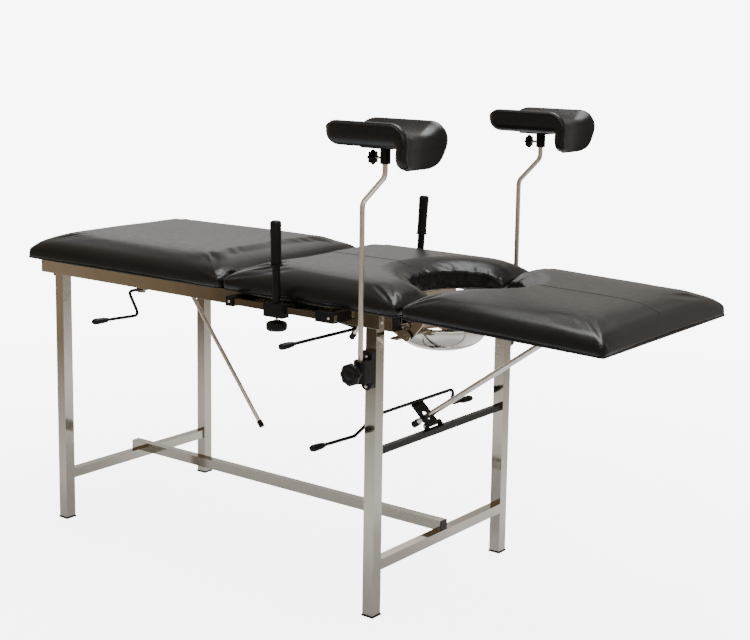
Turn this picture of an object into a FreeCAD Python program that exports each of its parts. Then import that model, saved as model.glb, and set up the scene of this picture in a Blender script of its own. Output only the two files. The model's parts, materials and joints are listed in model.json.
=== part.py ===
import FreeCAD, Part
import math
import os

# A gynaecological examination table: a welded tube frame on four legs, three padded
# sections, two leg supports, two sliding handgrips, a basin and three release levers.
# Millimetres. Origin: centre of the footprint, on the floor. +X foot end, +Z up.
V = FreeCAD.Vector
NEAR, FAR = -1, 1
SIDES = {"near": NEAR, "far": FAR}

# Frame
WALL = 1.5                                # wall of every square tube
LEG = 30.0                                # leg tube, square
LEG_X = {"head": -763.0, "foot": 295.0}
LEG_Y = 269.0
LEG_TOP = 680.0
CAP_BASE = 4.0                            # rubber under each leg
RAIL_X = (-830.0, 353.0)
RAIL_Y = (259.0, 284.0)
RAIL_Z = (680.0, 715.0)
TUBE = 25.0                               # section frames and lower cross rails
LOW_Z = 109.0                             # underside of the lower cross rails
CROSS_Z = (668.0, 688.0)                  # cross tubes between the rails
PLUG = 3.0
BACK_GUIDE_X = -490.0                     # left face of the cross tube that carries the back rod guide
SEAT_GUIDE_X = 130.0

# Padded sections
PAD_BOTTOM = 719.0
BOARD = 4.0
PAD_Y = 298.0
HALF_LENGTH = 889.0
CENTRE_GAP = 5.0
CENTRE_X = -163.0
CENTRE_AXIS = (CENTRE_X, 735.0)           # back and seat both turn here, between the thin pad ends
BACK_TOP, SEAT_TOP, FOOT_TOP = 784.0, 782.0, 775.0  # crowns of the pads
SEAT_END, FOOT_START = 370.0, 375.0
PAD_EDGE = 16.0                           # height of the pads at their thin edges
PAD_ROLL = 110.0                          # distance over which an edge rolls up to the crown
CORNER = 28.0
FOOT_END = 887.2                          # before the droop, which moves it out to HALF_LENGTH
CUT_R = 145.0                             # seat cut-out, half round at the seat's foot end
FOOT_CUT_R = 148.0
FOOT_CUT_DEPTH = 115.0
SIDE_TUBE_Y = (222.0, 247.0)              # back and seat frames
FOOT_TUBE_Y = (175.0, 200.0)              # the foot frame is narrower
HINGE_Y = 235.0                           # centre hinge lugs
HINGE_PIN_R = 3.0
POCKET_TOP = 744.0
RUNNING = 0.05                            # radial clearance of every pivot

# Foot section and its strut
FOOT_AXIS = (373.0, 668.0)
FOOT_DROOP = 1.5                          # degrees below level at rest
FOOT_PIN_R = 5.0
FOOT_PLATE_Y = (246.0, 250.0)
FRAME_PLATE_Y = (254.0, 259.0)
ROD_Y = -26.0                             # all three locking rods lie in this plane
STRUT_PIVOT = (659.0, 653.0)
STRUT_GUIDE = (297.0, 393.0)
STRUT_OFFSET = 36.7
STRUT_R = 7.0
STRUT_LENGTH = 500.0
LOCK_PIVOT = (287.0, 404.0)
LOCK_TOP = (240.0, 447.0)
LOCK_Y = (-50.0, -2.0)
CROSSBAR = 15.0
CROSSBAR_AT = (297.5, 390.0)

# Back and seat rods
BACK_ROD = ((-580.0, 694.0), (-263.0, 295.0))
SEAT_ROD = ((118.0, 694.0), (35.0, 579.0))
ROD_R = 5.5
PIVOT_R = 3.0

# Release levers, bent wire
WIRE_R = 4.0
BEND = 12.0
BACK_LEVER_AXIS = (-509.0, 663.0)
SEAT_LEVER_AXIS = (112.0, 664.0)
GRIP_R = 9.0

# Basin
BASIN_X = 289.0
BASIN_R = 112.0
BASIN_RIM = 650.0
BASIN_DEPTH = 64.0
SHEET = 1.5

# Leg supports
SUPPORT_Y = 322.0
SUPPORT_X = 295.0
POST_R = 6.0
POST_LOW, POST_BEND, POST_TOP = 966.0, 1028.0, 1092.0
REST_X = 356.0
SLEEVE = (11.5, 1056.0, 1090.0)           # radius, bottom, top
KNOB_Z = 587.0
STAR_Z = 1069.0
PLATE = 5.0                               # plate under the leg pad
REST_PAD = (242.0, 465.0, 241.0, 404.0, 1063.0, 1150.0)  # x, |y| and z ranges

# Handgrips
TRACK_X = (-112.0, 218.0)
TRACK_Y = (311.0, 321.0)
TRACK_Z = (689.5, 704.5)
BRACKET_Y = 325.0
STOP_X, STOP_R = 67.0, 9.0                # round rubber stop on the rail
BLOCK_LENGTH = 58.0
BLOCK_Y = (306.0, 331.0)
BLOCK_Z = (678.0, 710.0)
GRIP_X = {"near": 42.0, "far": -6.0}      # each handgrip slides on its own
GRIP_LEAN = {"near": 1.5, "far": 5.0}     # degrees outward


def box(x, y, z):
    """Box from (low, high) pairs."""
    return Part.makeBox(x[1] - x[0], y[1] - y[0], z[1] - z[0], V(x[0], y[0], z[0]))


def span(side, y):
    """A (low, high) pair of |Y| on one side of the table."""
    return tuple(sorted((side * y[0], side * y[1])))


def cylinder(start, end, radius):
    start, end = V(*start), V(*end)
    return Part.makeCylinder(radius, (end - start).Length, start, end - start)


def pin_y(axis, y, radius):
    """Cylinder along Y through axis = (x, z)."""
    return cylinder((axis[0], y[0], axis[1]), (axis[0], y[1], axis[1]), radius)


def hollow(x, y, z, along):
    """Square tube with open ends along one axis."""
    sizes = {"x": x, "y": y, "z": z}
    inner = {axis: (low + WALL, high - WALL) for axis, (low, high) in sizes.items()}
    inner[along] = sizes[along]
    return box(x, y, z).cut(box(**inner))


def fuse(*shapes):
    result = shapes[0]
    for shape in shapes[1:]:
        result = result.fuse(shape)
    return result.removeSplitter()


def group(*shapes):
    """Separate solids in one node."""
    return Part.makeCompound([solid for shape in shapes for solid in shape.Solids])


def link(first, second, r_first, r_second, y):
    """Flat link between two round ends at (x, z), thickness along Y."""
    ax, az = first
    bx, bz = second
    length = math.hypot(bx - ax, bz - az)
    ux, uz = (bx - ax) / length, (bz - az) / length
    lean = math.asin((r_first - r_second) / length)
    corners = []
    for sign, near_end in ((1, True), (1, False), (-1, False), (-1, True)):
        nx = -uz * sign * math.cos(lean) + ux * math.sin(lean)
        nz = ux * sign * math.cos(lean) + uz * math.sin(lean)
        cx, cz, r = (ax, az, r_first) if near_end else (bx, bz, r_second)
        corners.append(V(cx + r * nx, y[0], cz + r * nz))
    plate = Part.Face(Part.makePolygon(corners + corners[:1])).extrude(V(0, y[1] - y[0], 0))
    return fuse(plate, pin_y(first, y, r_first), pin_y(second, y, r_second))


def bent_wire(points, radius, bend):
    """Round bar along straight runs with tangent bends."""
    points = [V(*point) for point in points]
    edges = []
    start = points[0]
    for before, corner, after in zip(points, points[1:], points[2:]):
        into = (corner - before).normalize()
        out = (after - corner).normalize()
        half = into.getAngle(out) / 2
        back_off = bend * math.tan(half)
        arc_start = corner - into * back_off
        arc_end = corner + out * back_off
        middle = corner + (out - into).normalize() * (bend / math.cos(half) - bend)
        edges.append(Part.makeLine(start, arc_start))
        edges.append(Part.Arc(arc_start, middle, arc_end).toShape())
        start = arc_end
    edges.append(Part.makeLine(start, points[-1]))
    profile = Part.Wire(Part.makeCircle(radius, points[0], points[1] - points[0]))
    return Part.Wire(edges).makePipeShell([profile], True, True)


def turned(shape, axis, degrees):
    """Shape turned about the Y axis through (x, z); positive lowers the +X end."""
    copy = shape.copy()
    copy.rotate(V(axis[0], 0, axis[1]), V(0, 1, 0), degrees)
    return copy


def foot_level(point):
    """Where a point of the drooping foot section lies when the section is level."""
    angle = math.radians(-FOOT_DROOP)
    dx, dz = point[0] - FOOT_AXIS[0], point[1] - FOOT_AXIS[1]
    return (FOOT_AXIS[0] + dx * math.cos(angle) + dz * math.sin(angle),
            FOOT_AXIS[1] - dx * math.sin(angle) + dz * math.cos(angle))


def screw(centre, normal, radius=3.5, height=2.5):
    """Low round screw head on a face."""
    centre, normal = V(*centre), V(*normal)
    return Part.makeCylinder(radius, height, centre, normal)


# ---------------------------------------------------------------- frame

def legs():
    parts = {}
    for side_name, side in SIDES.items():
        for end_name, x in LEG_X.items():
            half = LEG / 2
            y = span(side, (LEG_Y - half, LEG_Y + half))
            parts["%s_%s_leg" % (side_name, end_name)] = hollow(
                (x - half, x + half), y, (CAP_BASE, LEG_TOP), "z")
    return parts


def foot_caps():
    """Thin rubber feet with a plug up inside each leg."""
    caps = []
    out, plug = LEG / 2 + 1.5, LEG / 2 - WALL - 0.2
    for side in SIDES.values():
        for x in LEG_X.values():
            y = side * LEG_Y
            caps.append(fuse(box((x - out, x + out), (y - out, y + out), (0, CAP_BASE)),
                             box((x - plug, x + plug), (y - plug, y + plug), (CAP_BASE, 22.0))))
    return group(*caps)


def rails():
    return {"%s_rail" % name: hollow(RAIL_X, span(side, RAIL_Y), RAIL_Z, "x")
            for name, side in SIDES.items()}


def stretcher_x():
    return (LEG_X["head"] - LEG / 2 + PLUG, LEG_X["foot"] + LEG / 2 - PLUG)


def tube_plugs():
    plugs = []
    for side in SIDES.values():
        y = span(side, RAIL_Y)
        plugs.append(box((RAIL_X[0] - PLUG, RAIL_X[0]), y, RAIL_Z))
        plugs.append(box((RAIL_X[1], RAIL_X[1] + PLUG), y, RAIL_Z))
    low, high = stretcher_x()
    z = (LOW_Z + TUBE, LOW_Z + 2 * TUBE)
    for x in ((low - PLUG, low), (high, high + PLUG)):
        plugs.append(box(x, (-TUBE / 2, TUBE / 2), z))
    return group(*plugs)


def rail_cross_tubes():
    inner = RAIL_Y[0]
    low_x = (-815.0, CENTRE_X - TUBE / 2, BACK_GUIDE_X, SEAT_GUIDE_X)
    return group(*[hollow((x, x + TUBE), (-inner, inner), CROSS_Z, "y") for x in low_x])


def lower_cross_rails():
    reach = LEG_Y - LEG / 2
    head = LEG_X["head"] - LEG / 2
    foot = LEG_X["foot"] + LEG / 2 - TUBE
    z = (LOW_Z, LOW_Z + TUBE)
    return group(*[hollow((x, x + TUBE), (-reach, reach), z, "y") for x in (head, foot)])


def stretcher():
    return hollow(stretcher_x(), (-TUBE / 2, TUBE / 2), (LOW_Z + TUBE, LOW_Z + 2 * TUBE), "x")


def crossbar():
    """Bar between the foot-end legs with two lugs that carry the strut's lock plate."""
    reach = LEG_Y - LEG / 2
    half = CROSSBAR / 2
    x, z = CROSSBAR_AT
    bar = box((x - half, x + half), (-reach, reach), (z - half, z + half))
    hole = pin_y(LOCK_PIVOT, (-70, 20), PIVOT_R)
    lugs = [link(LOCK_PIVOT, CROSSBAR_AT, 6.0, 7.0, y) for y in ((-57.0, -51.0), (-1.0, 5.0))]
    return fuse(bar, *lugs).cut(hole)


def rod_guides():
    """Open forks that the back and seat rods run through, and the levers' bearings."""
    parts = []
    forks = ((BACK_GUIDE_X, -600.0, 642.0), (SEAT_GUIDE_X, 58.0, 630.0))
    fork_top = CROSS_Z[1] - 6.0
    for tube_x, start, low in forks:
        for y in ((ROD_Y - 12.0, ROD_Y - 8.0), (ROD_Y + 8.0, ROD_Y + 12.0)):
            parts.append(box((start, tube_x), y, (low, fork_top)))
    levers = ((BACK_LEVER_AXIS, BACK_GUIDE_X, -232.0), (SEAT_LEVER_AXIS, SEAT_GUIDE_X, -180.0))
    for axis, tube_x, outer in levers:
        for y in ((-72.0, -66.0), (outer, outer + 6.0)):
            eye = fuse(pin_y(axis, y, 9.0), box((axis[0], tube_x), y, (axis[1] - 7, axis[1] + 9)))
            parts.append(eye.cut(pin_y(axis, (-250, -50), WIRE_R + RUNNING)))
    return group(*parts)


def hinge_plates():
    """Foot hinge plates inside the rails, and the centre hinge lugs on their cross tube."""
    parts = []
    for side in SIDES.values():
        y = span(side, FRAME_PLATE_Y)
        plate = link((336.0, 690.0), FOOT_AXIS, 14.0, 10.5, y)
        parts.append(plate.cut(pin_y(FOOT_AXIS, y, FOOT_PIN_R)))
        y = span(side, (HINGE_Y - 2.5, HINGE_Y + 2.5))
        lug = fuse(box((CENTRE_X - 7, CENTRE_X + 7), y, (CROSS_Z[1], CENTRE_AXIS[1])),
                   pin_y(CENTRE_AXIS, y, 6.5))
        parts.append(lug.cut(pin_y(CENTRE_AXIS, y, HINGE_PIN_R)))
    return group(*parts)


def hinge_pins():
    pins = []
    for side in SIDES.values():
        pins.append(pin_y(CENTRE_AXIS, span(side, (225.5, 244.5)), HINGE_PIN_R))
        pins.append(pin_y(FOOT_AXIS, span(side, (245.0, FRAME_PLATE_Y[1])), FOOT_PIN_R))
    pins.append(pin_y(LOCK_PIVOT, (-59.0, 7.0), PIVOT_R))
    return group(*pins)


def basin_runners():
    """Channel strips that hold the basin's flange, with hangers and outriggers."""
    parts = []
    x = (SEAT_GUIDE_X, 352.0)
    for side in SIDES.values():
        channel = fuse(box(x, span(side, (115.5, 132.0)), (646.6, 648.6)),
                       box(x, span(side, (129.5, 132.0)), (646.6, 655.0)),
                       box(x, span(side, (119.0, 132.0)), (653.0, 655.0)),
                       box((x[0], x[0] + TUBE), span(side, (129.5, 132.0)), (655.0, CROSS_Z[0])),
                       box((326.0, 346.0), span(side, (119.0, FRAME_PLATE_Y[0])), (655.0, 659.0)))
        parts.append(channel)
    return group(*parts)


def tracks():
    """Handgrip tracks: a flat bar each side, held at both ends by moulded brackets on the rail."""
    bars, brackets = [], []
    wall = 4.0
    z = (TRACK_Z[0] - wall, TRACK_Z[1] + wall)
    jaws_and_webs = (((-112.0, -90.0), (-112.0, -104.0)), ((165.0, 218.0), (200.0, 218.0)))
    for side in SIDES.values():
        bar = box(TRACK_X, span(side, TRACK_Y), TRACK_Z)
        bars.append(bar)
        stop_y = side * (RAIL_Y[1] + STOP_R)
        brackets.append(cylinder((STOP_X, stop_y, 699.0), (STOP_X, stop_y, 707.0), STOP_R))
        for jaw_x, web_x in jaws_and_webs:
            jaw = box(jaw_x, span(side, (TRACK_Y[0] - wall, BRACKET_Y)), z)
            web = box(web_x, span(side, (RAIL_Y[1], TRACK_Y[0] - wall)), z)
            brackets.append(fuse(jaw, web).cut(bar))
    return {"handgrip_tracks": group(*bars), "track_brackets": group(*brackets)}


def frame_screws():
    screws = []
    for side in SIDES.values():
        out = (0, side, 0)
        for z in (618.0, 550.0):
            screws.append(screw((SUPPORT_X, side * 300.0, z), out, 4.0))
        screws.append(screw((325.0, side * RAIL_Y[1], 697.0), out))
        for x in (-101.0, 205.0):
            screws.append(screw((x, side * BRACKET_Y, 697.0), out))
        for z in (552.0, 524.0):
            screws.append(screw((292.0, side * (LEG_Y - LEG / 2), z), (0, -side, 0), 3.0, 2.0))
    for y in (-240.0, 240.0):
        screws.append(screw((CROSSBAR_AT[0] - CROSSBAR / 2, y, CROSSBAR_AT[1]), (-1, 0, 0)))
    return group(*screws)


def leg_clamps():
    """Block on each foot-end leg with a bored boss for the support post."""
    parts = {}
    for name, side in SIDES.items():
        block = box((280.0, 310.0), span(side, (284.0, 300.0)), (556.0, 630.0))
        toe = cylinder((295.0, side * 284.0, 556.0), (295.0, side * 300.0, 556.0), 15.0)
        boss = fuse(box((280.0, 310.0), span(side, (300.0, SUPPORT_Y)), (562.0, 613.0)),
                    cylinder((SUPPORT_X, side * SUPPORT_Y, 562.0),
                             (SUPPORT_X, side * SUPPORT_Y, 613.0), 15.0),
                    cylinder((SUPPORT_X, side * SUPPORT_Y, KNOB_Z),
                             (SUPPORT_X, side * 344.0, KNOB_Z), 13.0))
        bore = cylinder((SUPPORT_X, side * SUPPORT_Y, 540.0),
                        (SUPPORT_X, side * SUPPORT_Y, 640.0), POST_R + RUNNING)
        stud = cylinder((SUPPORT_X, side * SUPPORT_Y, KNOB_Z),
                        (SUPPORT_X, side * 350.0, KNOB_Z), 4.0 + RUNNING)
        parts["%s_leg_clamp" % name] = fuse(block, toe, boss).cut(bore).cut(stud)
    return parts


# ---------------------------------------------------------------- padded sections

def crowned_face(place, low, high, top):
    """Cross-section of a pad from low to high: thin edges that roll up to a flat crown."""
    edge = PAD_BOTTOM + PAD_EDGE
    rise = top - edge
    radius = (PAD_ROLL ** 2 + rise ** 2) / (2 * rise)
    half = math.asin(PAD_ROLL / radius) / 2
    bulge, drop = PAD_ROLL - radius * math.sin(half), radius * (1 - math.cos(half))
    left = [place(low, edge), place(low + bulge, top - drop), place(low + PAD_ROLL, top)]
    right = [place(high - PAD_ROLL, top), place(high - bulge, top - drop), place(high, edge)]
    feet = [place(high, PAD_BOTTOM), place(low, PAD_BOTTOM)]
    return Part.Face(Part.Wire([
        Part.Arc(*left).toShape(), Part.makeLine(left[2], right[0]), Part.Arc(*right).toShape(),
        Part.makeLine(right[2], feet[0]), Part.makeLine(*feet), Part.makeLine(feet[1], left[0])]))


def rounded_plan(x, z):
    """Rectangle with round corners, over the pads' full width."""
    blank = box(x, (-PAD_Y, PAD_Y), z)
    corners = [edge for edge in blank.Edges
               if abs(edge.Vertexes[0].Z - edge.Vertexes[1].Z) > 0.5]
    return blank.makeFillet(CORNER, corners)


def pad_section(x, top):
    """Pillow-shaped pad, crowned both along and across."""
    length, width = x[1] - x[0], 2 * PAD_Y
    along = crowned_face(lambda at, z: V(at, -PAD_Y, z), *x, top).extrude(V(0, width, 0))
    across = crowned_face(lambda at, z: V(x[0], at, z), -PAD_Y, PAD_Y, top).extrude(V(length, 0, 0))
    return along.common(across).common(rounded_plan(x, (PAD_BOTTOM, top)))


def hinge_pockets(direction):
    """Slots in a pad end around the centre hinge."""
    x = sorted((CENTRE_X, CENTRE_X + direction * 44.0))
    return [box(x, span(side, (HINGE_Y - 10.5, HINGE_Y + 10.5)), (PAD_BOTTOM - 1, POCKET_TOP))
            for side in SIDES.values()]


def seat_cut(radius):
    return cylinder((SEAT_END, 0, PAD_BOTTOM - 20), (SEAT_END, 0, 800.0), radius)


def foot_cut(radius):
    """Arc that carries the seat's round cut-out into the foot section."""
    x = FOOT_START + FOOT_CUT_DEPTH - FOOT_CUT_R
    return cylinder((x, 0, PAD_BOTTOM - 20), (x, 0, 800.0), radius)


def pads():
    back = pad_section((-HALF_LENGTH, CENTRE_X - CENTRE_GAP / 2), BACK_TOP)
    seat = pad_section((CENTRE_X + CENTRE_GAP / 2, SEAT_END), SEAT_TOP).cut(seat_cut(CUT_R))
    foot = pad_section((FOOT_START, FOOT_END), FOOT_TOP).cut(foot_cut(FOOT_CUT_R))
    for pocket in hinge_pockets(-1):
        back = back.cut(pocket)
    for pocket in hinge_pockets(1):
        seat = seat.cut(pocket)
    return {"back_pad": back, "seat_pad": seat, "foot_pad": turned(foot, FOOT_AXIS, FOOT_DROOP)}


def boards():
    z = (PAD_BOTTOM - BOARD, PAD_BOTTOM)
    inset = 8.0
    back = box((-875.0, CENTRE_X - 49), (-250, 250), z)
    seat = box((CENTRE_X + 49, SEAT_END - 10), (-250, 250), z).cut(seat_cut(CUT_R + inset))
    foot = box((FOOT_START + 12, 874.0), (-285, 285), z).cut(foot_cut(FOOT_CUT_R + inset))
    return {"back_board": back, "seat_board": seat,
            "foot_board": turned(foot, FOOT_AXIS, FOOT_DROOP)}


def ladder(x, cross_x, tube_y=SIDE_TUBE_Y):
    """Two side tubes and the cross tubes between them."""
    z = (PAD_BOTTOM - BOARD - TUBE, PAD_BOTTOM - BOARD)
    inner = tube_y[0]
    sides = [hollow(x, span(side, tube_y), z, "x") for side in SIDES.values()]
    return sides + [hollow((at, at + TUBE), (-inner, inner), z, "y") for at in cross_x]


def hinge_straps(direction, y):
    """Goose-neck straps from the ends of the side tubes up to the centre hinge."""
    straps = []
    foot_x = sorted((CENTRE_X + direction * 47.0, CENTRE_X + direction * 27.0))
    for side in SIDES.values():
        at = span(side, y)
        arm = link((CENTRE_X + direction * 30.0, 704.0), CENTRE_AXIS, 8.0, 6.5, at)
        strap = fuse(box(foot_x, at, (692.0, 712.0)), arm)
        straps.append(strap.cut(pin_y(CENTRE_AXIS, at, HINGE_PIN_R + RUNNING)))
    return straps


def pivot_cheeks(axis, tube_face):
    """Two cheeks and a pin at (x, z), standing off a cross tube's face."""
    x = sorted((axis[0], tube_face))
    parts = []
    for y in ((ROD_Y - 10, ROD_Y - 6.2), (ROD_Y + 6.2, ROD_Y + 10)):
        cheek = fuse(pin_y(axis, y, 8.0), box(x, y, (axis[1] - 4, axis[1] + 8)))
        parts.append(cheek.cut(pin_y(axis, y, PIVOT_R)))
    parts.append(pin_y(axis, (ROD_Y - 12, ROD_Y + 12), PIVOT_R))
    return parts


def back_frame():
    x = (-870.0, CENTRE_X - 47.0)
    return group(*ladder(x, (-870.0, -622.0, -300.0)), *hinge_straps(-1, (226.0, 231.0)),
                 *pivot_cheeks(BACK_ROD[0], -622.0 + TUBE))


def seat_frame():
    x = (CENTRE_X + 47.0, 352.0)
    return group(*ladder(x, (-80.0, 132.0)), *hinge_straps(1, (239.0, 244.0)),
                 *pivot_cheeks(SEAT_ROD[0], 132.0))


def foot_frame():
    """Ladder, hinge plates and the strut's hanger, drooping with the section."""
    pivot = foot_level(STRUT_PIVOT)
    parts = ladder((388.0, 828.0), (648.0, 803.0), FOOT_TUBE_Y)
    for side in SIDES.values():
        y = span(side, FOOT_PLATE_Y)
        arm_y = span(side, (FOOT_TUBE_Y[1], FOOT_PLATE_Y[1]))
        plate = link(FOOT_AXIS, (400.0, 702.0), 10.5, 11.0, y)
        arm = box((392.0, 424.0), arm_y, (703.0, 713.0))
        parts.append(fuse(plate, arm).cut(pin_y(FOOT_AXIS, y, FOOT_PIN_R + RUNNING)))
    for y in ((ROD_Y - 7, ROD_Y - 3), (ROD_Y + 3, ROD_Y + 7)):
        cheek = fuse(box((pivot[0] - 9, pivot[0] + 9), y, (pivot[1], 690.0)), pin_y(pivot, y, 9.0))
        parts.append(cheek.cut(pin_y(pivot, y, PIVOT_R)))
    parts.append(pin_y(pivot, (ROD_Y - 9, ROD_Y + 9), PIVOT_R))
    return group(*[turned(part, FOOT_AXIS, FOOT_DROOP) for part in parts])


# ---------------------------------------------------------------- locking rods

def locking_rod(ends, cap_length, cap_radius):
    """Rod with an eye at its upper end and a plastic cap over its lower end."""
    (ax, az), (bx, bz) = ends
    length = math.hypot(bx - ax, bz - az)
    ux, uz = (bx - ax) / length, (bz - az) / length
    stop = (ax + ux * (length - 3), ROD_Y, az + uz * (length - 3))
    bar = cylinder((ax + ux * 4, ROD_Y, az + uz * 4), stop, ROD_R)
    eye = pin_y(ends[0], (ROD_Y - 5, ROD_Y + 5), 8.0)
    rod = fuse(bar, eye).cut(pin_y(ends[0], (ROD_Y - 10, ROD_Y + 10), PIVOT_R + RUNNING))
    cap_start = (bx - ux * cap_length, ROD_Y, bz - uz * cap_length)
    cap = cylinder(cap_start, (bx, ROD_Y, bz), cap_radius).cut(rod)
    return rod, cap


def strut_line(distance, offset=STRUT_OFFSET):
    """Point on the strut's axis, measured from its pivot towards the lock."""
    (px, pz), (gx, gz) = STRUT_PIVOT, STRUT_GUIDE
    length = math.hypot(gx - px, gz - pz)
    ux, uz = (gx - px) / length, (gz - pz) / length
    return (px + ux * distance + uz * offset, pz + uz * distance - ux * offset)


def foot_strut():
    """Strut with an offset ear at its upper end, so that it clears the section's frame."""
    start, stop = strut_line(14.0), strut_line(STRUT_LENGTH - 3)
    ear_y = (ROD_Y - 2.5, ROD_Y + 2.5)
    tube = cylinder((start[0], ROD_Y, start[1]), (stop[0], ROD_Y, stop[1]), STRUT_R)
    ear = link(STRUT_PIVOT, strut_line(24.0), 8.0, 6.5, ear_y)
    hole = pin_y(STRUT_PIVOT, ear_y, PIVOT_R + RUNNING)
    strut = fuse(tube, ear).cut(hole)
    cap_start, cap_end = strut_line(STRUT_LENGTH - 18), strut_line(STRUT_LENGTH)
    cap = cylinder((cap_start[0], ROD_Y, cap_start[1]), (cap_end[0], ROD_Y, cap_end[1]), 8.5)
    return {"foot_strut": strut, "foot_strut_cap": cap.cut(strut)}


def lock_plate():
    """Tilting plate that jams on the strut: knuckle, plate and a slot for the strut."""
    (px, pz), (tx, tz) = LOCK_PIVOT, LOCK_TOP
    length = math.hypot(tx - px, tz - pz)
    blank = box((0.0, length), LOCK_Y, (-2.0, 2.0))
    slot_y, slot_half, slot_from, slot_to = ROD_Y, 8.5, 21.5, 30.0
    slot = fuse(box((slot_from, slot_to), (slot_y - slot_half, slot_y + slot_half), (-5, 5)),
                cylinder((slot_from, slot_y, -5), (slot_from, slot_y, 5), slot_half),
                cylinder((slot_to, slot_y, -5), (slot_to, slot_y, 5), slot_half))
    knuckle = pin_y((0, 0), LOCK_Y, 5.5)
    plate = fuse(blank, knuckle).cut(slot).cut(pin_y((0, 0), LOCK_Y, PIVOT_R + RUNNING))
    plate.rotate(V(0, 0, 0), V(0, 1, 0), -math.degrees(math.atan2(tz - pz, tx - px)))
    plate.translate(V(px, 0, pz))
    return plate


# ---------------------------------------------------------------- levers

def grip(start, end, radius, core):
    """Moulded grip over a wire's end."""
    start, end = V(*start), V(*end)
    body = Part.makeCylinder(radius, (end - start).Length, start, end - start)
    return body.makeFillet(radius * 0.45, body.Edges[:1] + body.Edges[2:]).cut(core)


def levers():
    bx, bz = BACK_LEVER_AXIS
    sx, sz = SEAT_LEVER_AXIS
    routes = {
        "back_lever": [(bx, -52, bz), (bx, -268, bz), (-472, -268, 605), (-501, -390, 603)],
        "seat_lever": [(sx, -52, sz), (sx, -200, sz), (206, -216, 658), (124, -392, 631)],
        "lock_lever": [(217, -392, 412), (227, -342, 415), (242, -272, 419), (242, -191, 452),
                       (242, 138, 453), (242, 109, 416), (242, 205, 414)],
    }
    parts = {name: bent_wire(route, WIRE_R, BEND) for name, route in routes.items()}
    parts["back_lever_grip"] = grip((-492.4, -354, 603.6), (-502.9, -398, 602.9), GRIP_R,
                                    parts["back_lever"])
    parts["seat_lever_grip"] = grip((137.0, -364, 635.3), (121.2, -398, 630.1), GRIP_R,
                                    parts["seat_lever"])
    near = grip((223.9, -357.5, 414.1), (215.8, -398, 411.7), GRIP_R, parts["lock_lever"])
    far = grip((242, 160, 414.9), (242, 209, 413.9), GRIP_R, parts["lock_lever"])
    parts["lock_lever_grips"] = group(near, far)
    return parts


# ---------------------------------------------------------------- basin

def basin():
    """Pressed bowl: half an ellipsoid with a flat flange."""
    def dome(radius, depth):
        ball = Part.makeSphere(radius)
        stretch = FreeCAD.Matrix()
        stretch.scale(1, 1, depth / radius)
        low = box((-200, 200), (-200, 200), (-200, 0))
        return ball.transformGeometry(stretch).common(low)
    shell = dome(BASIN_R, BASIN_DEPTH).cut(dome(BASIN_R - SHEET, BASIN_DEPTH - SHEET))
    flange = Part.makeCylinder(BASIN_R + 14, SHEET).cut(Part.makeCylinder(BASIN_R - SHEET, SHEET))
    bowl = fuse(shell, flange)
    bowl.translate(V(BASIN_X, 0, BASIN_RIM))
    return bowl


# ---------------------------------------------------------------- leg supports

def lobed_knob(radius, thickness, lobes, stud_radius, stud_length):
    """Knob along +Z from z = 0, with its stud below."""
    body = Part.makeCylinder(radius, thickness)
    for index in range(lobes):
        angle = 2 * math.pi * index / lobes
        reach = radius * 1.25
        dent = Part.makeCylinder(radius * 0.42, thickness,
                                 V(reach * math.cos(angle), reach * math.sin(angle), 0))
        body = body.cut(dent)
    stud = Part.makeCylinder(stud_radius, stud_length, V(0, 0, -stud_length))
    return fuse(body, stud)


def placed(shape, at, direction):
    """Shape built along +Z, moved to a point and aimed along a direction."""
    copy = shape.copy()
    copy.Placement = FreeCAD.Placement(V(*at), FreeCAD.Rotation(V(0, 0, 1), V(*direction)))
    return copy


def support_post(side):
    y = side * SUPPORT_Y
    route = [(SUPPORT_X, y, 566.0), (SUPPORT_X, y, POST_LOW), (REST_X, y, POST_BEND),
             (REST_X, y, POST_TOP)]
    return bent_wire(route, POST_R, 26.0)


def rest_carrier(side):
    """Sleeve on the post's top and the plate under the rest."""
    y = side * SUPPORT_Y
    radius, low, high = SLEEVE
    sleeve = cylinder((REST_X, y, low), (REST_X, y, high), radius)
    bore = cylinder((REST_X, y, low), (REST_X, y, POST_TOP + 0.4), POST_R + RUNNING)
    stud = cylinder((REST_X - 30, y, STAR_Z), (REST_X, y, STAR_Z), 3.0 + RUNNING)
    plate = box((REST_X - 45, REST_X + 35), (y - 30, y + 30), (high, high + PLATE))
    return fuse(sleeve, plate).cut(bore).cut(stud)


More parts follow.
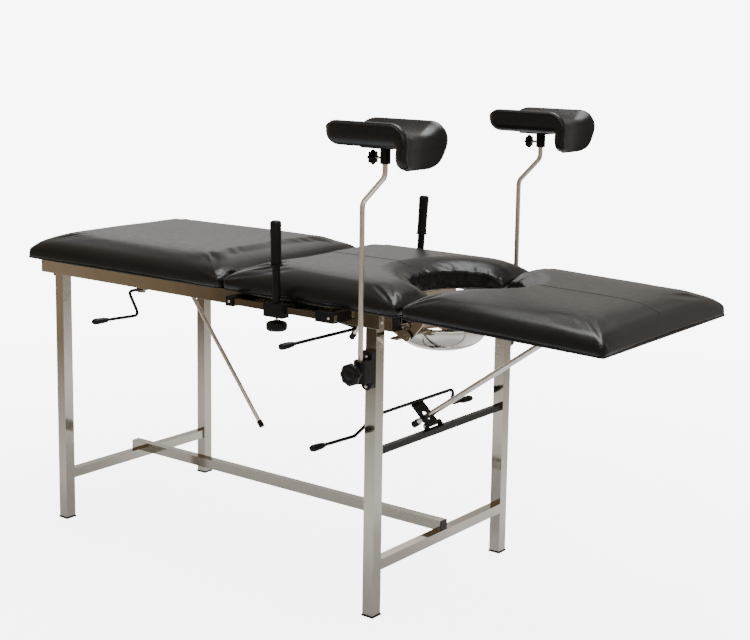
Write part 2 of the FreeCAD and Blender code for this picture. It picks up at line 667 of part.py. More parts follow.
def rest_pad(side):
    """Saddle pad: bent down at its foot end, with a trough along its length."""
    x0, x1, y0, y1, low, top = REST_PAD
    under = SLEEVE[2] + PLATE
    flap, bend_x, bend_z, shoulder = 26.0, 36.0, 32.0, 70.0
    diagonal = math.sqrt(0.5)
    inner_start = V(x1 - flap - bend_x, 0, under)
    inner_middle = inner_start + V(bend_x * diagonal, 0, -bend_z * (1 - diagonal))
    inner_end, flap_tip = V(x1 - flap, 0, low), V(x1, 0, low)
    outer_middle, outer_end = V(x1 - 20, 0, top - 24), V(x1 - shoulder, 0, top)
    edges = [Part.makeLine(V(x0, 0, under), inner_start),
             Part.Arc(inner_start, inner_middle, inner_end).toShape(),
             Part.makeLine(inner_end, flap_tip),
             Part.Arc(flap_tip, outer_middle, outer_end).toShape(),
             Part.makeLine(outer_end, V(x0, 0, top)),
             Part.makeLine(V(x0, 0, top), V(x0, 0, under))]
    body = Part.Face(Part.Wire(edges)).extrude(V(0, y1 - y0, 0))
    body.translate(V(0, y0, 0))
    trough_r, trough_z = 107.0, top - 27.0
    middle = (y0 + y1) / 2
    body = body.cut(cylinder((x0 - 20, middle, trough_z + trough_r),
                             (x1 + 20, middle, trough_z + trough_r), trough_r))
    upright_edges = [edge for edge in body.Edges
                     if abs(edge.BoundBox.XLength) < 0.1 and abs(edge.BoundBox.YLength) < 0.1]
    body = body.makeFillet(14.0, [edge for edge in upright_edges if edge.Length > 30])
    return body if side == FAR else body.mirror(V(0, 0, 0), V(0, 1, 0))


def leg_supports():
    parts = {}
    for name, side in SIDES.items():
        y = side * SUPPORT_Y
        clamp = lobed_knob(25.0, 15.0, 6, 4.0, 19.0)
        star = lobed_knob(16.5, 12.0, 5, 3.0, 20.0)
        parts["%s_support_post" % name] = support_post(side)
        parts["%s_rest_carrier" % name] = rest_carrier(side)
        parts["%s_rest_pad" % name] = rest_pad(side)
        parts["%s_clamp_knob" % name] = placed(clamp, (SUPPORT_X, side * 348.0, KNOB_Z),
                                               (0, side, 0))
        parts["%s_star_knob" % name] = placed(star, (REST_X - 27, y, STAR_Z), (-1, 0, 0))
    return parts


# ---------------------------------------------------------------- handgrips

def handgrips():
    parts = {}
    middle = (TRACK_Y[0] + TRACK_Y[1]) / 2
    slack = 0.5
    for name, side in SIDES.items():
        x, y = GRIP_X[name], side * middle
        block_x = (x - BLOCK_LENGTH / 2, x + BLOCK_LENGTH / 2)
        block = box(block_x, span(side, BLOCK_Y), BLOCK_Z)
        channel = box(block_x, span(side, (TRACK_Y[0] - slack, TRACK_Y[1] + slack)),
                      (TRACK_Z[0] - slack, TRACK_Z[1] + slack))
        bore = cylinder((x, y, 670.0), (x, y, 700.0), 3.0 + RUNNING)
        post = cylinder((x, y, BLOCK_Z[1] - 3), (x, y, 800.0), 9.5)
        flange = cylinder((x, y, 800.0), (x, y, 803.0), 16.0)
        handle = cylinder((x, y, 803.0), (x, y, 903.0), 11.5)
        rim = [edge for edge in handle.Edges if edge.Vertexes[0].Z > 900 and len(edge.Vertexes) == 1]
        handle = handle.makeFillet(5.0, rim)
        for upright_part in (post, flange, handle):
            upright_part.rotate(V(x, y, BLOCK_Z[1]), V(1, 0, 0), -side * GRIP_LEAN[name])
        knob = lobed_knob(22.5, 22.0, 6, 3.0, 19.0)
        parts["%s_handgrip_slider" % name] = fuse(block.cut(channel).cut(bore), post, flange)
        parts["%s_handgrip" % name] = handle
        parts["%s_handgrip_knob" % name] = placed(knob, (x, y, 669.0), (0, 0, -1))
    return parts


def build():
    """Every node by name."""
    nodes = {}
    for parts in (legs(), rails(), tracks(), leg_clamps(), pads(), boards(), foot_strut(),
                  levers(), leg_supports(), handgrips()):
        nodes.update(parts)
    nodes["foot_caps"] = foot_caps()
    nodes["tube_plugs"] = tube_plugs()
    nodes["rail_cross_tubes"] = rail_cross_tubes()
    nodes["lower_cross_rails"] = lower_cross_rails()
    nodes["stretcher"] = stretcher()
    nodes["crossbar"] = crossbar()
    nodes["rod_guides"] = rod_guides()
    nodes["hinge_plates"] = hinge_plates()
    nodes["hinge_pins"] = hinge_pins()
    nodes["basin_runners"] = basin_runners()
    nodes["frame_screws"] = frame_screws()
    nodes["back_frame"] = back_frame()
    nodes["seat_frame"] = seat_frame()
    nodes["foot_frame"] = foot_frame()
    nodes["back_rod"], nodes["back_rod_cap"] = locking_rod(BACK_ROD, 18.0, 7.5)
    nodes["seat_rod"], nodes["seat_rod_cap"] = locking_rod(SEAT_ROD, 16.0, 7.5)
    nodes["lock_plate"] = lock_plate()
    nodes["basin"] = basin()
    return nodes


def main():
    os.makedirs("parts", exist_ok=True)
    for name, shape in build().items():
        shape.exportStep("parts/%s.step" % name)


if __name__ == "__main__":
    main()
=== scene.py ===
import json
import math

import bmesh
import bpy
import numpy as np
from mathutils import Matrix, Vector
from mathutils.bvhtree import BVHTree


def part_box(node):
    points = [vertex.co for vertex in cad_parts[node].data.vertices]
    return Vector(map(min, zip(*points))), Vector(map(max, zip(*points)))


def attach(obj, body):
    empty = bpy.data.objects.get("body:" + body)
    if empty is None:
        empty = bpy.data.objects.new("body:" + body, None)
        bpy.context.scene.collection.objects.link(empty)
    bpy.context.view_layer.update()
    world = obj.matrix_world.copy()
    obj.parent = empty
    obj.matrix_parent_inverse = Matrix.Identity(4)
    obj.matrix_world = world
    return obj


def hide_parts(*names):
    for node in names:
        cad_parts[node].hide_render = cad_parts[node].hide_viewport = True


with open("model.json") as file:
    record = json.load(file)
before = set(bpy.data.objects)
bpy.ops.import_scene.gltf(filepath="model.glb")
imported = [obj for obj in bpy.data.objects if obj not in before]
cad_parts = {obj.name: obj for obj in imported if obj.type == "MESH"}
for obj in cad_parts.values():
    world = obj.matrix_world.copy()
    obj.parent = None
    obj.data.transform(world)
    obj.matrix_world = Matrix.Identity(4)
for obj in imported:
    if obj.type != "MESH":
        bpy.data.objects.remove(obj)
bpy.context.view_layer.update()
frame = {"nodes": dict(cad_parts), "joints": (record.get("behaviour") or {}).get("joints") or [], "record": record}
MM = 0.001
WHITE = 8.0                         # brightness of the studio background and floor, to the camera
CORNER = 0.028                      # plan corners of the CAD pads
PAD_EDGE, PAD_ROLL = 0.016, 0.110   # thin edge of the CAD pads, and how far in their crown starts
PAD_GAP = 0.0025                    # half the gap between two pads
SEAT_CUT_R = 0.145                  # round cut-out at the seat's foot end
FOOT_CUT_R, FOOT_CUT_DEPTH = 0.148, 0.115
FOOT_END = 0.8872                   # foot end of the foot pad when level
CENTRE_HINGE_Y = 0.235
SWELL = 0.0038                      # most that the cloth simulation may move a point
NEAR, FAR = -1, 1
SIDES = {"near": NEAR, "far": FAR}
HANDGRIP_LEAN = {"near": 1.5, "far": 5.0}
FOOT_DROOP = math.radians(1.5)      # the foot section rests a little below level


def joint_position(name):
    found = [joint for joint in frame["joints"] if joint["name"] == name]
    return Vector(found[0]["pos_m"])


# ------------------------------------------------------------------ camera, light, floor

def make_camera():
    azimuth, elevation, roll = (math.radians(a) for a in (37.4, 8.8, 0.83))
    look = Vector((-math.sin(azimuth) * math.cos(elevation),
                   math.cos(azimuth) * math.cos(elevation), -math.sin(elevation)))
    right = Vector((math.cos(azimuth), math.sin(azimuth), 0.0))
    up = right.cross(look)
    turned_right = math.cos(roll) * right + math.sin(roll) * up
    turned_up = math.cos(roll) * up - math.sin(roll) * right
    data = bpy.data.cameras.new("camera")
    data.sensor_width = 36.0
    data.lens = 68.75
    data.shift_y = -0.0933
    data.clip_end = 100.0
    camera = bpy.data.objects.new("camera", data)
    rotation = Matrix((turned_right, turned_up, -look)).transposed().to_4x4()
    camera.matrix_world = Matrix.Translation((2.2063, -2.7741, 1.3437)) @ rotation
    bpy.context.scene.collection.objects.link(camera)
    bpy.context.scene.camera = camera


def area_light(name, place, target, size, power, colour=(1.0, 1.0, 1.0)):
    data = bpy.data.lights.new(name, "AREA")
    data.shape = "RECTANGLE"
    data.size, data.size_y = size
    data.energy = power
    data.color = colour
    light = bpy.data.objects.new(name, data)
    light.location = place
    aim = Vector(target) - Vector(place)
    light.rotation_euler = aim.to_track_quat("-Z", "Y").to_euler()
    bpy.context.scene.collection.objects.link(light)


def make_lights():
    area_light("key", (2.6, -2.6, 3.1), (0, 0, 0.7), (1.4, 1.0), 26.0, (1.0, 0.985, 0.96))
    area_light("top", (0.3, 0.7, 3.8), (0, 0.1, 0.7), (2.4, 1.6), 120.0, (1.0, 0.98, 0.96))
    area_light("back_light", (-3.3, 3.1, 2.5), (-0.4, 0, 0.7), (2.6, 1.2), 9.0, (1.0, 0.98, 0.96))


def make_world():
    """White to the camera, even light on matt faces, and in the reflections a pale
    backdrop on the far side with a dim brown room on the near side."""
    world = bpy.data.worlds.new("studio")
    bpy.context.scene.world = world
    world.use_nodes = True
    tree = Nodes(world.node_tree)
    tree.clear()
    coords = tree.add("ShaderNodeTexCoord")
    parts = tree.add("ShaderNodeSeparateXYZ")
    tree.link(coords.outputs["Generated"], parts.inputs[0])
    streaks = tree.noise(3.2, 5.0, 0.6, (1.0, 1.0, 0.35), "Generated")
    room = tree.ramp(streaks, ((0.36, (0.06, 0.042, 0.027)), (0.48, (0.36, 0.265, 0.165)),
                               (0.60, (0.52, 0.42, 0.31)), (0.70, (0.14, 0.105, 0.075))))
    far_side = tree.ramp(parts.outputs["Y"], ((0.44, 0.0), (0.66, 1.0)), low=-1.0)
    heights = ((0.30, 0.0), (0.42, 0.8), (0.52, 1.0), (0.70, 0.9), (0.83, 0.16))
    band = tree.ramp(parts.outputs["Z"], heights, low=-1.0)
    left = tree.ramp(parts.outputs["X"], ((0.12, 1.0), (0.30, 0.50)), low=-1.0)
    backdrop = tree.math("MULTIPLY", tree.math("MULTIPLY", far_side, band), left)
    lit = tree.mix(backdrop, room, (0.86, 0.85, 0.83))
    ray = tree.add("ShaderNodeLightPath")
    even = tree.mix(ray.outputs["Is Glossy Ray"], (0.9, 0.9, 0.9), lit)
    seen = tree.mix(ray.outputs["Is Camera Ray"], even, (WHITE, WHITE, WHITE))
    background = tree.add("ShaderNodeBackground")
    tree.link(seen, background.inputs["Color"])
    output = tree.add("ShaderNodeOutputWorld")
    tree.link(background.outputs[0], output.inputs[0])


def make_floor():
    """Pale floor that fades out into the white of the studio."""
    mesh = bpy.data.meshes.new("floor")
    half = 4.0
    mesh.from_pydata([(-half, -half, 0), (half, -half, 0), (half, half, 0), (-half, half, 0)],
                     [], [(0, 1, 2, 3)])
    floor = bpy.data.objects.new("floor", mesh)
    bpy.context.scene.collection.objects.link(floor)
    floor.location.z = -0.0005
    material, tree, shader = new_material("floor")
    shader.inputs["Base Color"].default_value = (0.90, 0.90, 0.90, 1.0)
    shader.inputs["Roughness"].default_value = 0.8
    shader.inputs["Specular IOR Level"].default_value = 0.1
    shader.inputs["Emission Color"].default_value = (1.0, 1.0, 1.0, 1.0)
    ray = tree.add("ShaderNodeLightPath")
    tree.link(tree.math("MULTIPLY", ray.outputs["Is Camera Ray"], 0.62 * WHITE),
              shader.inputs["Emission Strength"])
    coords = tree.add("ShaderNodeTexCoord")
    away = tree.tree.nodes.new("ShaderNodeVectorMath")
    away.operation = "LENGTH"
    tree.link(coords.outputs["Object"], away.inputs[0])
    fade = tree.ramp(away.outputs["Value"], ((0.0, 1.0), (0.22, 1.0), (0.75, 0.0)), high=half)
    clear = tree.add("ShaderNodeBsdfTransparent")
    mixed = tree.add("ShaderNodeMixShader")
    tree.link(fade, mixed.inputs[0])
    tree.link(clear.outputs[0], mixed.inputs[1])
    tree.link(shader.outputs[0], mixed.inputs[2])
    output = tree.tree.nodes["Material Output"]
    tree.link(mixed.outputs[0], output.inputs["Surface"])
    mesh.materials.append(material)


# ------------------------------------------------------------------ node materials

class Nodes:
    """Short calls for building a node tree."""

    def __init__(self, tree):
        self.tree = tree

    def clear(self):
        self.tree.nodes.clear()

    def add(self, kind, **values):
        node = self.tree.nodes.new(kind)
        for name, value in values.items():
            node.inputs[name.replace("_", " ")].default_value = value
        return node

    def link(self, output, socket):
        self.tree.links.new(output, socket)

    def math(self, operation, first, second=None, third=None):
        node = self.tree.nodes.new("ShaderNodeMath")
        node.operation = operation
        for index, value in enumerate((first, second, third)):
            if value is None:
                continue
            if isinstance(value, (int, float)):
                node.inputs[index].default_value = value
            else:
                self.link(value, node.inputs[index])
        return node.outputs[0]

    def ramp(self, value, stops, low=0.0, high=1.0):
        """Value in low..high mapped to stops, each a grey or a colour."""
        fit = self.tree.nodes.new("ShaderNodeMapRange")
        fit.inputs["From Min"].default_value = low
        fit.inputs["From Max"].default_value = high
        self.link(value, fit.inputs["Value"])
        node = self.tree.nodes.new("ShaderNodeValToRGB")
        elements = node.color_ramp.elements
        while len(elements) < len(stops):
            elements.new(0.5)
        for element, (place, shade) in zip(elements, stops):
            element.position = place
            colour = shade if isinstance(shade, tuple) else (shade, shade, shade)
            element.color = (*colour, 1.0)
        self.link(fit.outputs["Result"], node.inputs["Fac"])
        return node.outputs["Color"]

    def mix(self, factor, first, second):
        """Colour mix; first and second are colours or sockets."""
        node = self.tree.nodes.new("ShaderNodeMix")
        node.data_type = "RGBA"
        self.link(factor, node.inputs[0])
        for index, value in ((6, first), (7, second)):
            if isinstance(value, tuple):
                node.inputs[index].default_value = (*value, 1.0)
            else:
                self.link(value, node.inputs[index])
        return node.outputs[2]

    def noise(self, scale, detail=4.0, roughness=0.55, stretch=None, space="Object"):
        coords = self.tree.nodes.new("ShaderNodeTexCoord")
        source = coords.outputs[space]
        if stretch:
            mapping = self.tree.nodes.new("ShaderNodeMapping")
            mapping.inputs["Scale"].default_value = stretch
            self.link(source, mapping.inputs["Vector"])
            source = mapping.outputs["Vector"]
        node = self.tree.nodes.new("ShaderNodeTexNoise")
        node.inputs["Scale"].default_value = scale
        node.inputs["Detail"].default_value = detail
        node.inputs["Roughness"].default_value = roughness
        self.link(source, node.inputs["Vector"])
        return node.outputs["Fac"]

    def voronoi(self, scale):
        coords = self.tree.nodes.new("ShaderNodeTexCoord")
        node = self.tree.nodes.new("ShaderNodeTexVoronoi")
        node.inputs["Scale"].default_value = scale
        self.link(coords.outputs["Object"], node.inputs["Vector"])
        return node.outputs["Distance"]

    def bump(self, height, strength, distance, normal=None):
        node = self.tree.nodes.new("ShaderNodeBump")
        node.inputs["Strength"].default_value = strength
        node.inputs["Distance"].default_value = distance
        self.link(height, node.inputs["Height"])
        if normal is not None:
            self.link(normal, node.inputs["Normal"])
        return node.outputs["Normal"]

    def bevel(self, radius):
        node = self.tree.nodes.new("ShaderNodeBevel")
        node.samples = 4
        node.inputs["Radius"].default_value = radius
        return node.outputs["Normal"]


def new_material(name):
    material = bpy.data.materials.new(name)
    material.use_nodes = True
    tree = Nodes(material.node_tree)
    shader = material.node_tree.nodes["Principled BSDF"]
    return material, tree, shader


def steel_material(name, colour, rough_low, rough_high, grain=(1.0, 1.0, 1.0), edge=0.0012):
    """Polished steel: fine drawing lines, faint smears, softened edges."""
    material, tree, shader = new_material(name)
    smear = tree.noise(7.0, 3.0)
    tint = tree.ramp(smear, ((0.3, tuple(c * 0.90 for c in colour)), (0.7, colour)))
    tree.link(tint, shader.inputs["Base Color"])
    shader.inputs["Metallic"].default_value = 1.0
    rough = tree.math("MULTIPLY_ADD", tree.noise(26.0, 5.0), rough_high - rough_low, rough_low)
    tree.link(rough, shader.inputs["Roughness"])
    lines = tree.noise(420.0, 2.0, 0.5, grain)
    waves = tree.noise(16.0, 1.0)
    soft = tree.bevel(edge) if edge else None
    first = tree.bump(waves, 0.10, 0.0016, soft)
    tree.link(tree.bump(lines, 0.05, 0.00012, first), shader.inputs["Normal"])
    return material


def vinyl_material(name):
    """Black upholstery vinyl: pebbled grain, creases, a soft gloss."""
    material, tree, shader = new_material(name)
    cloud = tree.noise(5.0, 4.0)
    tree.link(tree.ramp(cloud, ((0.3, (0.0032, 0.0031, 0.0034)), (0.75, (0.0062, 0.0061, 0.0066)))),
              shader.inputs["Base Color"])
    pebble = tree.voronoi(900.0)
    rough = tree.math("MULTIPLY_ADD", tree.noise(60.0, 4.0), 0.14, 0.27)
    tree.link(rough, shader.inputs["Roughness"])
    shader.inputs["Specular IOR Level"].default_value = 0.36
    shader.inputs["Specular Tint"].default_value = (0.88, 0.94, 1.0, 1.0)
    shader.inputs["Coat Weight"].default_value = 0.03
    shader.inputs["Coat Roughness"].default_value = 0.18
    creases = tree.noise(38.0, 6.0, 0.62)
    first = tree.bump(creases, 0.16, 0.0010)
    tree.link(tree.bump(pebble, 0.20, 0.00020, first), shader.inputs["Normal"])
    return material


def moulded_material(name, colour, rough, grain_scale=700.0, edge=0.0008):
    """Moulded plastic, rubber or paint: fine texture, dust in the base, softened edges."""
    material, tree, shader = new_material(name)
    light = tuple(c * 1.6 + 0.001 for c in colour)
    tree.link(tree.ramp(tree.noise(22.0, 5.0), ((0.35, colour), (0.8, light))),
              shader.inputs["Base Color"])
    tree.link(tree.math("MULTIPLY_ADD", tree.noise(48.0, 4.0), 0.18, rough - 0.09),
              shader.inputs["Roughness"])
    shader.inputs["Specular IOR Level"].default_value = 0.22
    soft = tree.bevel(edge) if edge else None
    tree.link(tree.bump(tree.noise(grain_scale, 3.0), 0.18, 0.0002, soft), shader.inputs["Normal"])
    return material


def wood_material(name):
    material, tree, shader = new_material(name)
    rings = tree.noise(18.0, 6.0, 0.6, (1.0, 9.0, 9.0))
    tree.link(tree.ramp(rings, ((0.3, (0.20, 0.13, 0.07)), (0.7, (0.38, 0.27, 0.16)))),
              shader.inputs["Base Color"])
    shader.inputs["Roughness"].default_value = 0.65
    tree.link(tree.bump(rings, 0.3, 0.0005), shader.inputs["Normal"])
    return material


MATERIALS = {
    "stainless": steel_material("stainless", (0.45, 0.42, 0.37), 0.05, 0.13),
    "chromed": steel_material("chromed", (0.88, 0.86, 0.83), 0.26, 0.36),
    "mirror": steel_material("mirror", (0.62, 0.60, 0.56), 0.02, 0.06),
    "vinyl": vinyl_material("vinyl"),
    "plywood": wood_material("plywood"),
    "black_paint": moulded_material("black_paint", (0.0022, 0.0022, 0.0022), 0.38),
    "black_rubber": moulded_material("black_rubber", (0.0035, 0.0033, 0.0033), 0.44, 500.0),
    "black_plastic": moulded_material("black_plastic", (0.0032, 0.0032, 0.0034), 0.34),
    "piping": moulded_material("piping", (0.010, 0.010, 0.010), 0.45, 900.0, 0.0),
}


def dress_cad_nodes():
    """Every CAD node gets its slot's node material and smooth round faces."""
    for part in frame["record"]["subparts"]:
        node = frame["nodes"][part["node"]]
        node.data.materials.clear()
        node.data.materials.append(MATERIALS[part["material_slot"]])
        for face in node.data.polygons:
            face.use_smooth = True
        node.data.set_sharp_from_angle(angle=math.radians(32))


# ------------------------------------------------------------------ mesh helpers

def object_from(name, vertices, faces, material, smooth=True):
    mesh = bpy.data.meshes.new(name)
    mesh.from_pydata([tuple(v) for v in vertices], [], faces)
    mesh.materials.append(MATERIALS[material])
    for face in mesh.polygons:
        face.use_smooth = smooth
    piece = bpy.data.objects.new(name, mesh)
    bpy.context.scene.collection.objects.link(piece)
    return piece


def fix_normals(piece):
    work = bmesh.new()
    work.from_mesh(piece.data)
    bmesh.ops.remove_doubles(work, verts=work.verts, dist=1e-6)
    bmesh.ops.recalc_face_normals(work, faces=work.faces)
    work.to_mesh(piece.data)
    work.free()


def apply_modifiers(piece):
    depsgraph = bpy.context.evaluated_depsgraph_get()
    mesh = bpy.data.meshes.new_from_object(piece.evaluated_get(depsgraph))
    piece.modifiers.clear()
    piece.data = mesh
    return piece


def finish_piece(piece, body, slot, *replaced):
    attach(piece, body)
    if replaced:
        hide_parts(*replaced)


def ring_tube(name, points, radius, material, closed=True, sides=8):
    """Tube along a list of points."""
    points = [Vector(p) for p in points]
    count = len(points)
    vertices, faces = [], []
    for index, point in enumerate(points):
        before = points[(index - 1) % count] if closed or index else point
        after = points[(index + 1) % count] if closed or index < count - 1 else point
        tangent = (after - before).normalized()
        side = tangent.cross(Vector((0, 0, 1)))
        side = side.normalized() if side.length > 1e-4 else Vector((1, 0, 0))
        up = side.cross(tangent)
        for k in range(sides):
            angle = 2 * math.pi * k / sides
            vertices.append(point + radius * (math.cos(angle) * side + math.sin(angle) * up))
    spans = count if closed else count - 1
    for index in range(spans):
        for k in range(sides):
            a, b = index * sides, ((index + 1) % count) * sides
            n = (k + 1) % sides
            faces.append((a + k, a + n, b + n, b + k))
    if not closed:
        faces.append(tuple(range(sides)))
        faces.append(tuple((count - 1) * sides + k for k in reversed(range(sides))))
    piece = object_from(name, vertices, faces, material)
    fix_normals(piece)
    return piece


# ------------------------------------------------------------------ section cushions

def smoothstep(low, high, value):
    t = np.clip((value - low) / (high - low), 0, 1)
    return t * t * (3 - 2 * t)


def coordinates(mesh):
    co = np.empty(len(mesh.vertices) * 3)
    mesh.vertices.foreach_get("co", co)
    return co.reshape(-1, 3)


def write_coordinates(mesh, co):
    mesh.vertices.foreach_set("co", co.ravel())
    mesh.update()


def level_foot(co, direction):
    """Turn the drooping foot section to level (1) or back (-1)."""
    hinge = np.array(joint_position("foot_section_fold"))
    angle = -FOOT_DROOP * direction
    shifted = co - hinge
    out = shifted.copy()
    out[:, 0] = shifted[:, 0] * math.cos(angle) + shifted[:, 2] * math.sin(angle)
    out[:, 2] = -shifted[:, 0] * math.sin(angle) + shifted[:, 2] * math.cos(angle)
    return out + hinge


def inflate(piece, cap, held):
    """Cloth simulation: the cover swells under pressure, pinned where held is true."""
    start = coordinates(piece.data).copy()
    group = piece.vertex_groups.new(name="hold")
    group.add([int(i) for i in np.nonzero(held)[0]], 1.0, "REPLACE")
    cloth = piece.modifiers.new("cloth", "CLOTH")
    cloth.settings.quality = 4
    cloth.settings.mass = 0.3
    cloth.settings.tension_stiffness = 12
    cloth.settings.compression_stiffness = 12
    cloth.settings.bending_stiffness = 0.4
    cloth.settings.use_pressure = True
    cloth.settings.uniform_pressure_force = 4.0
    cloth.settings.effector_weights.gravity = 0.0
    cloth.settings.vertex_group_mass = "hold"
    scene = bpy.context.scene
    for step in range(1, 21):
        scene.frame_set(step)
    swollen = bpy.data.meshes.new_from_object(
        piece.evaluated_get(bpy.context.evaluated_depsgraph_get()))
    moved = coordinates(swollen) - start
    length = np.linalg.norm(moved, axis=1, keepdims=True)
    piece.modifiers.clear()
    piece.vertex_groups.clear()
    write_coordinates(piece.data, start + moved * np.minimum(1.0, cap / np.maximum(length, 1e-9)))
    bpy.data.meshes.remove(swollen)
    scene.frame_set(1)


def waviness(co, seed, scale, amount):
    """Slow uneven swell of hand-stretched vinyl, a sum of a few plane waves."""
    random = np.random.default_rng(seed)
    total = np.zeros(len(co))
    for _ in range(7):
        direction = random.normal(size=2)
        direction /= np.linalg.norm(direction)
        phase, stretch = random.uniform(0, 2 * math.pi), random.uniform(0.6, 1.6)
        along = co[:, 0] * direction[0] + co[:, 1] * direction[1]
        total += np.sin(along / scale * stretch + phase)
    return total / 7 * amount


def subdivided(piece):
    modifier = piece.modifiers.new("smooth", "SUBSURF")
    modifier.levels = modifier.render_levels = 1
    return apply_modifiers(piece)


def edge_distances(co, low, high):
    """How far each point lies from the nearer end and from the nearer side."""
    return np.minimum(co[:, 0] - low[0], high[0] - co[:, 0]), high[1] - np.abs(co[:, 1])


def square_corners(co, low, high):
    """Sharpen the plan corners: the CAD's round corners become slightly squarer."""
    to_ends, to_sides = edge_distances(co, low, high)
    a, b = CORNER - to_ends, CORNER - to_sides
    reach = np.hypot(a, b)
    use = (a > 0) & (b > 0)
    cosine, sine = np.abs(a / np.maximum(reach, 1e-6)), np.abs(b / np.maximum(reach, 1e-6))
    power = 2.3
    grow = np.where(use, (cosine ** power + sine ** power) ** (-1 / power), 1.0) - 1
    grow *= smoothstep(0.3 * CORNER, CORNER, reach)
    x_sign = np.where(co[:, 0] > (low[0] + high[0]) / 2, 1.0, -1.0)
    co[:, 0] += np.where(use, x_sign * a * grow, 0)
    co[:, 1] += np.where(use, np.sign(co[:, 1]) * b * grow, 0)


def dome(co, low, high):
    """Turn the CAD's flat crown into one that rises all the way to the middle."""
    edge, top = low[2] + PAD_EDGE, high[2]
    rise = top - edge
    radius = (PAD_ROLL ** 2 + rise ** 2) / (2 * rise)

    def cad_height(distance):
        left = np.maximum(PAD_ROLL - np.maximum(distance, 0), 0)
        return top - radius + np.sqrt(radius ** 2 - left ** 2)

    def hollow(distance, reach):
        return (1 - np.clip(distance / reach, 0, 1)) ** 3.4

    to_ends, to_sides = edge_distances(co, low, high)
    flat_height = np.minimum(cad_height(to_ends), cad_height(to_sides)) - edge
    share = np.clip((co[:, 2] - edge) / np.maximum(flat_height, 1e-4), 0, 1.05)
    fall = (hollow(to_ends, 0.185) ** 3 + hollow(to_sides, 0.205) ** 3) ** (1 / 3)
    inward = np.clip(np.minimum(to_ends, to_sides) / 0.034, 0, 1)
    shoulder = 0.016 * (1 - (1 - inward) ** 2.2)
    domed = shoulder + (rise - shoulder) * (1 - np.minimum(fall, 1))
    above = co[:, 2] > edge
    co[:, 2] = np.where(above, edge + share * domed, co[:, 2])


def shape_cushion(co, low, high, joints, cut, seed):
    """Give a remeshed pad its upholstered form.

    Returns each point's distance to the nearest joint and to the round cut-out."""
    waist, hem_drop, undercut = 0.0035, 0.0045, 0.0055
    base, thick = low[2], high[2] - low[2]
    square_corners(co, low, high)
    dome(co, low, high)
    rise = np.clip((co[:, 2] - base) / thick, 0, 1)
    to_ends, to_sides = edge_distances(co, low, high)
    depth = np.maximum(np.minimum(to_ends, to_sides), 0)
    to_joint = np.min([np.abs(co[:, 0] - x) for x in joints], axis=0)
    around = None
    if cut:
        around = np.hypot(co[:, 0] - cut[0], co[:, 1]) - cut[1]
        depth = np.minimum(depth, np.maximum(around, 0))
        co[:, 2] -= rise * 0.020 * (1 - smoothstep(-0.004, 0.050, around))
    middle = (low + high) / 2
    along = np.clip((co[:, 0] - middle[0]) / (high[0] - low[0]) * math.pi, -1.5, 1.5)
    across = np.clip(co[:, 1] / (high[1] - low[1]) * math.pi, -1.5, 1.5)
    near_side = smoothstep(0.05, 0.0, to_sides)
    co[:, 1] -= np.sign(co[:, 1]) * near_side * np.cos(along) * waist
    free_end = smoothstep(0.05, 0.0, to_ends) * smoothstep(0.05, 0.10, to_joint)
    co[:, 0] -= np.sign(co[:, 0] - middle[0]) * free_end * np.cos(across) * waist
    co[:, 2] += smoothstep(0.3, 0.8, rise) * waviness(co, seed, 0.055, 0.0014)
    hem = (1 - smoothstep(0.009, 0.012, depth)) * smoothstep(0.5, 0.2, rise * thick / PAD_EDGE)
    co[:, 2] -= hem * hem_drop
    above_hem = np.clip((co[:, 2] - base + hem_drop) / 0.016, 0, 1)
    under = (1 - above_hem) ** 1.6 * undercut
    co[:, 1] -= np.sign(co[:, 1]) * under * smoothstep(0.014, 0.0, to_sides)
    co[:, 0] -= np.sign(co[:, 0] - middle[0]) * under * smoothstep(0.014, 0.0, to_ends)
    return to_joint, around


def held_points(co, base, to_joint, around):
    """Points that the cloth simulation leaves in place."""
    hinge = (to_joint < 0.055) & (np.abs(np.abs(co[:, 1]) - CENTRE_HINGE_Y) < 0.018)
    held = (co[:, 2] < base + 0.005) | (to_joint < 0.014) | (hinge & (co[:, 2] < 0.748))
    if around is not None:
        held |= around < 0.010
    return held


def remeshed(piece):
    """Even up the CAD pad's mesh and round its edges, at the CAD pad's own size."""
    cad = coordinates(piece.data)
    low, high = cad.min(0) + 0.0003, cad.max(0) - 0.0003
    remesh = piece.modifiers.new("remesh", "REMESH")
    remesh.mode = "VOXEL"
    remesh.voxel_size = 0.006
    round_off = piece.modifiers.new("round_off", "SMOOTH")
    round_off.factor = 0.5
    round_off.iterations = 5
    apply_modifiers(piece)
    co = coordinates(piece.data)
    shrunk_low, shrunk_high = co.min(0), co.max(0)
    return low + (co - shrunk_low) * (high - low) / (shrunk_high - shrunk_low), low, high


def section_pad(name, node, body, joints, cut=None, seed=1):
    """Upholstered cushion grown from the CAD pad and swollen by cloth simulation.

    joints are the x planes where the pad faces its neighbours, and stays flat.
    cut is the plan circle (x, radius, pleats) of the opening in the pad, or None."""
    piece = bpy.data.objects.new(name, frame["nodes"][node].data.copy())
    bpy.context.scene.collection.objects.link(piece)
    is_foot = node == "foot_pad"
    if is_foot:
        write_coordinates(piece.data, level_foot(coordinates(piece.data), 1))
    co, low, high = remeshed(piece)
    base, thick = low[2], high[2] - low[2]
    to_joint, around = shape_cushion(co, low, high, joints, cut, seed)
    write_coordinates(piece.data, co)
    inflate(piece, SWELL, held_points(co, base, to_joint, around))
    subdivided(piece)
    co = coordinates(piece.data)
    if cut:
        pleat(co, cut, base, thick)
    write_coordinates(piece.data, level_foot(co, -1) if is_foot else co)
    piece.data.materials.clear()
    piece.data.materials.append(MATERIALS["vinyl"])
    for face in piece.data.polygons:
        face.use_smooth = True
    finish_piece(piece, body, "vinyl", node)
    return piece


